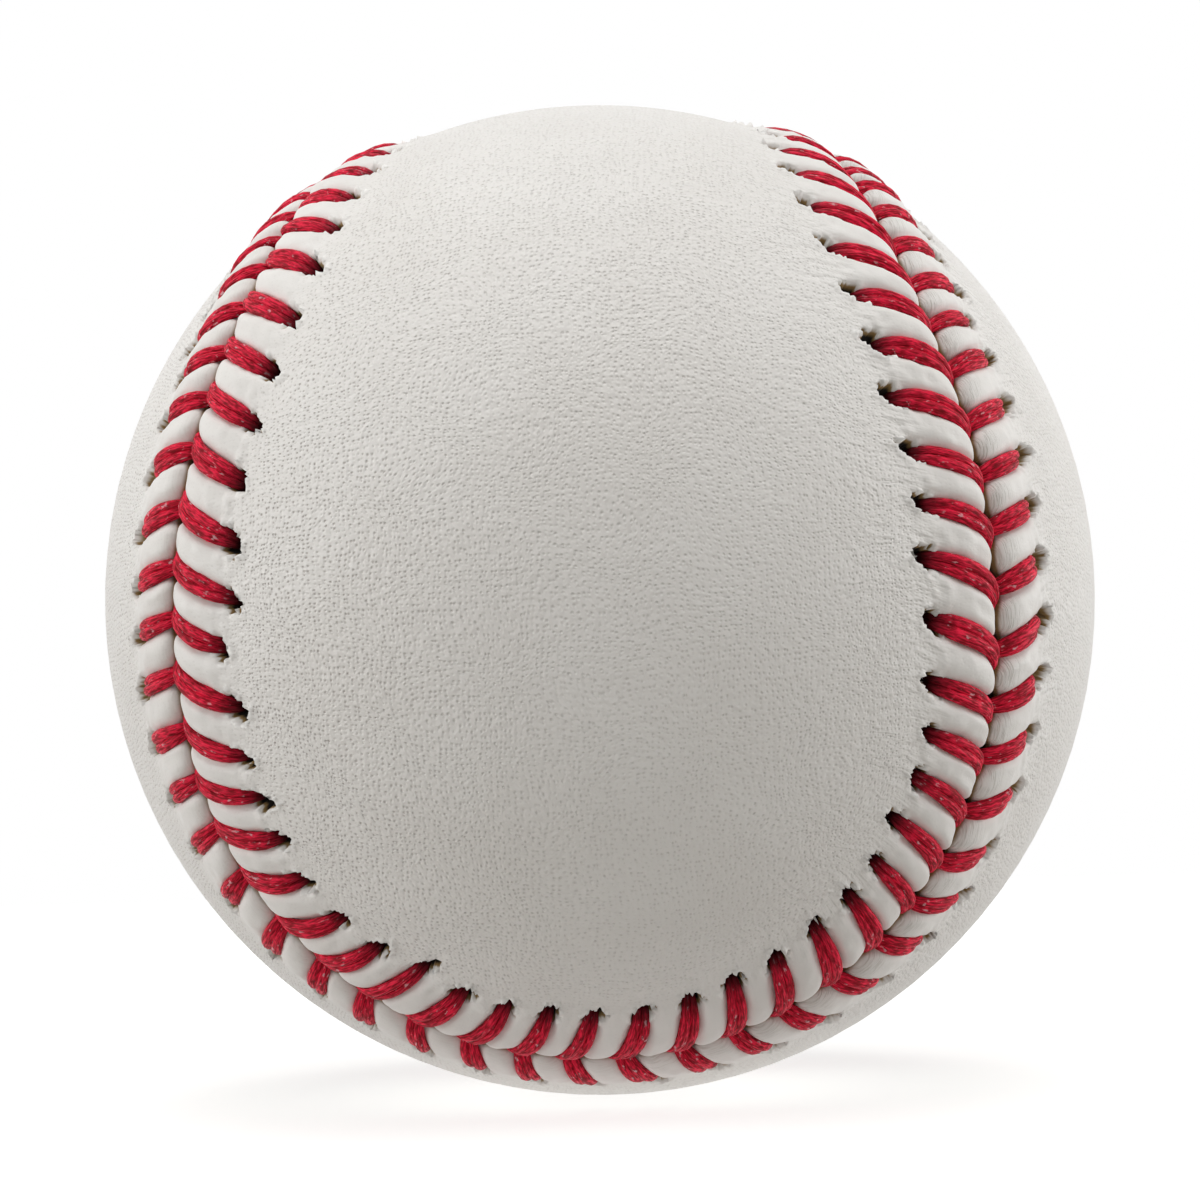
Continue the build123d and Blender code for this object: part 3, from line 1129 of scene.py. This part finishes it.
def cork_finish():
    """Granules of cork, one in six of them black rubber."""
    material, tree, shader = new_finish("cork", {})
    place = object_place(tree)
    grains = add_node(tree, "TexVoronoi", {"Vector": place, "Scale": granule_scale})
    chance = add_node(tree, "SeparateColor", {"Color": grains.outputs["Color"]})
    fine = noise(tree, place, bark_scale, 3.0)
    bark = blend(tree, chance.outputs["Red"], brown_cork, pale_cork)
    bark = blend(tree, span(tree, fine, 0.55, 0.75, 0.0, 0.6), bark, dark_bark)
    bark = blend(tree, span(tree, chance.outputs["Green"], 0.82, 0.84), bark, rubber_granule)
    lumps = sums(tree, "SUBTRACT", fine, grains.outputs["Distance"])
    wire(tree, shader, bark, from_noise(tree, fine, 0.75, 0.95), lumps, bark_height)
    return material


print("granules of cork", 1 / granule_scale / mm, "mm across")

# %% Finish the core
black_rubber = rubber_finish("black_rubber", (0.018, 0.018, 0.018, 1), (0.04, 0.039, 0.038, 1))
core_finishes = {
    "cork_core": cork_finish(),
    "black_rubber_cup_upper": black_rubber,
    "black_rubber_cup_lower": black_rubber,
    "cup_gasket": rubber_finish("gasket_rubber", (0.48, 0.04, 0.035, 1), (0.6, 0.075, 0.06, 1)),
    "red_rubber_skin": rubber_finish("red_rubber", (0.42, 0.035, 0.035, 1), (0.56, 0.06, 0.06, 1)),
}
for name, finish in core_finishes.items():
    for material_slot in frame["nodes"][name].material_slots:
        material_slot.material = finish
print("core finished", list(core_finishes))

# %% [markdown]
# ## Stage, light and camera
# The ball lies on a pale plate in a light tent: one large soft light overhead and one on each side, and
# only a little light from the camera's side, which leaves the low middle of the ball the darkest. The
# plate glows softly under the ball, which fills its underside. The floor and the world behind it are
# white to the camera, and the floor still shows the ball's shadow; near the ball less white is added,
# which paints a soft shadow round it as well.

# %% Floor
floor_half = 1.5
floor_mesh = bmesh.new()
floor_place = Matrix.Translation((0, 0, -ball_radius))
bmesh.ops.create_grid(floor_mesh, x_segments=2, y_segments=2, size=floor_half, matrix=floor_place)
floor_data = bpy.data.meshes.new("floor")
floor_mesh.to_mesh(floor_data)
floor_mesh.free()
floor = bpy.data.objects.new("floor", floor_data)
scene.collection.objects.link(floor)
print("floor at", -ball_radius)

# %% Paint of the floor. Its distances are from the middle of the ball
touch_reach = 0.037
plate_reach = 0.0505
shade_reach = 0.052
white_reach = 0.25
plate_glow = 0.44
floor_grey = (0.5, 0.49, 0.47, 1)


def seen_or_mirrored(tree):
    """1 for what the camera sees, straight or in gloss or glass, and 0 for what only gives light."""
    path = add_node(tree, "LightPath", {})
    seen = sums(tree, "MAXIMUM", path.outputs["Is Camera Ray"], path.outputs["Is Glossy Ray"])
    return sums(tree, "MAXIMUM", seen, path.outputs["Is Transmission Ray"])


floor_paint = bpy.data.materials.new("floor_paint")
floor_paint.use_nodes = True
floor_tree = floor_paint.node_tree
floor_tree.nodes.clear()
floor_spot = object_place(floor_tree)
reach = add_node(floor_tree, "VectorMath", {0: floor_spot}, operation="LENGTH").outputs["Value"]
# The camera sees the floor lifted to white, but less near the ball, which paints a soft shadow round it
# besides its real shadow.
camera_white_and_shadow = span(floor_tree, reach, touch_reach, shade_reach, 0.3, 0.72)
far_floor = span(floor_tree, reach, shade_reach, white_reach, 0.0, 0.26)
camera_white_and_shadow = sums(floor_tree, "ADD", camera_white_and_shadow, far_floor)
shown = times(floor_tree, seen_or_mirrored(floor_tree), camera_white_and_shadow)
plate = span(floor_tree, reach, touch_reach, plate_reach, plate_glow, 0.0)
paint = add_node(floor_tree, "BsdfDiffuse", {"Color": floor_grey})
glow = add_node(floor_tree, "Emission", {"Strength": sums(floor_tree, "ADD", shown, plate)})
both = add_node(floor_tree, "AddShader", {0: paint.outputs[0], 1: glow.outputs[0]})
add_node(floor_tree, "OutputMaterial", {"Surface": both.outputs[0]})
floor_data.materials.append(floor_paint)
print("floor painted with", len(floor_tree.nodes), "nodes")

# %% World
surround = 0.22
world = bpy.data.worlds.new("studio")
scene.world = world
world.use_nodes = True
world_tree = world.node_tree
world_light = world_tree.nodes["Background"]
inputs = {"Value": seen_or_mirrored(world_tree), "To Min": surround, "To Max": 1.0}
level = add_node(world_tree, "MapRange", inputs)
world_tree.links.new(level.outputs["Result"], world_light.inputs["Strength"])
world_light.inputs["Color"].default_value = (1, 1, 1, 1)
print("the tent gives", surround, "of white all round")

# %% Lamps
lamp_distance = 0.6


def softbox(name, azimuth, elevation, size, share):
    """A square lamp that lights a surface facing it to that share of white."""
    lamp = bpy.data.lights.new(name, "AREA")
    lamp.size = size
    lamp.energy = pi ** 2 * lamp_distance ** 2 * share
    holder = bpy.data.objects.new(name, lamp)
    toward = Vector(facing(radians(azimuth), radians(elevation)))
    holder.rotation_euler = toward.to_track_quat("Z", "Y").to_euler()
    holder.location = toward * lamp_distance
    scene.collection.objects.link(holder)
    print(name, "at", lamp.energy, "W")


softbox("overhead", azimuth=-86, elevation=72, size=0.6, share=0.79)
softbox("left_side", azimuth=-166, elevation=2, size=0.55, share=0.84)
softbox("right_side", azimuth=5, elevation=2, size=0.55, share=0.83)

# %% Camera
camera_azimuth = radians(2.706)
camera_elevation = radians(-7.463)
camera_roll = radians(1.632)
camera_distance = 4.271 * ball_radius
focal_pixels = 2055
picture_pixels = 1200
camera_data = bpy.data.cameras.new("camera")
camera_data.angle = 2 * atan(picture_pixels / 2 / focal_pixels)
camera_data.clip_start = 5 * mm
camera = bpy.data.objects.new("camera", camera_data)
toward = Vector(facing(camera_azimuth - pi / 2, camera_elevation))
upright = toward.to_track_quat("Z", "Y").to_matrix().to_4x4()
aim = Matrix.Rotation(-camera_roll, 4, toward) @ upright
camera.matrix_world = Matrix.Translation(toward * camera_distance) @ aim
scene.collection.objects.link(camera)
scene.camera = camera
scene.view_settings.view_transform = "Standard"
print("camera at", list(camera.matrix_world.translation))
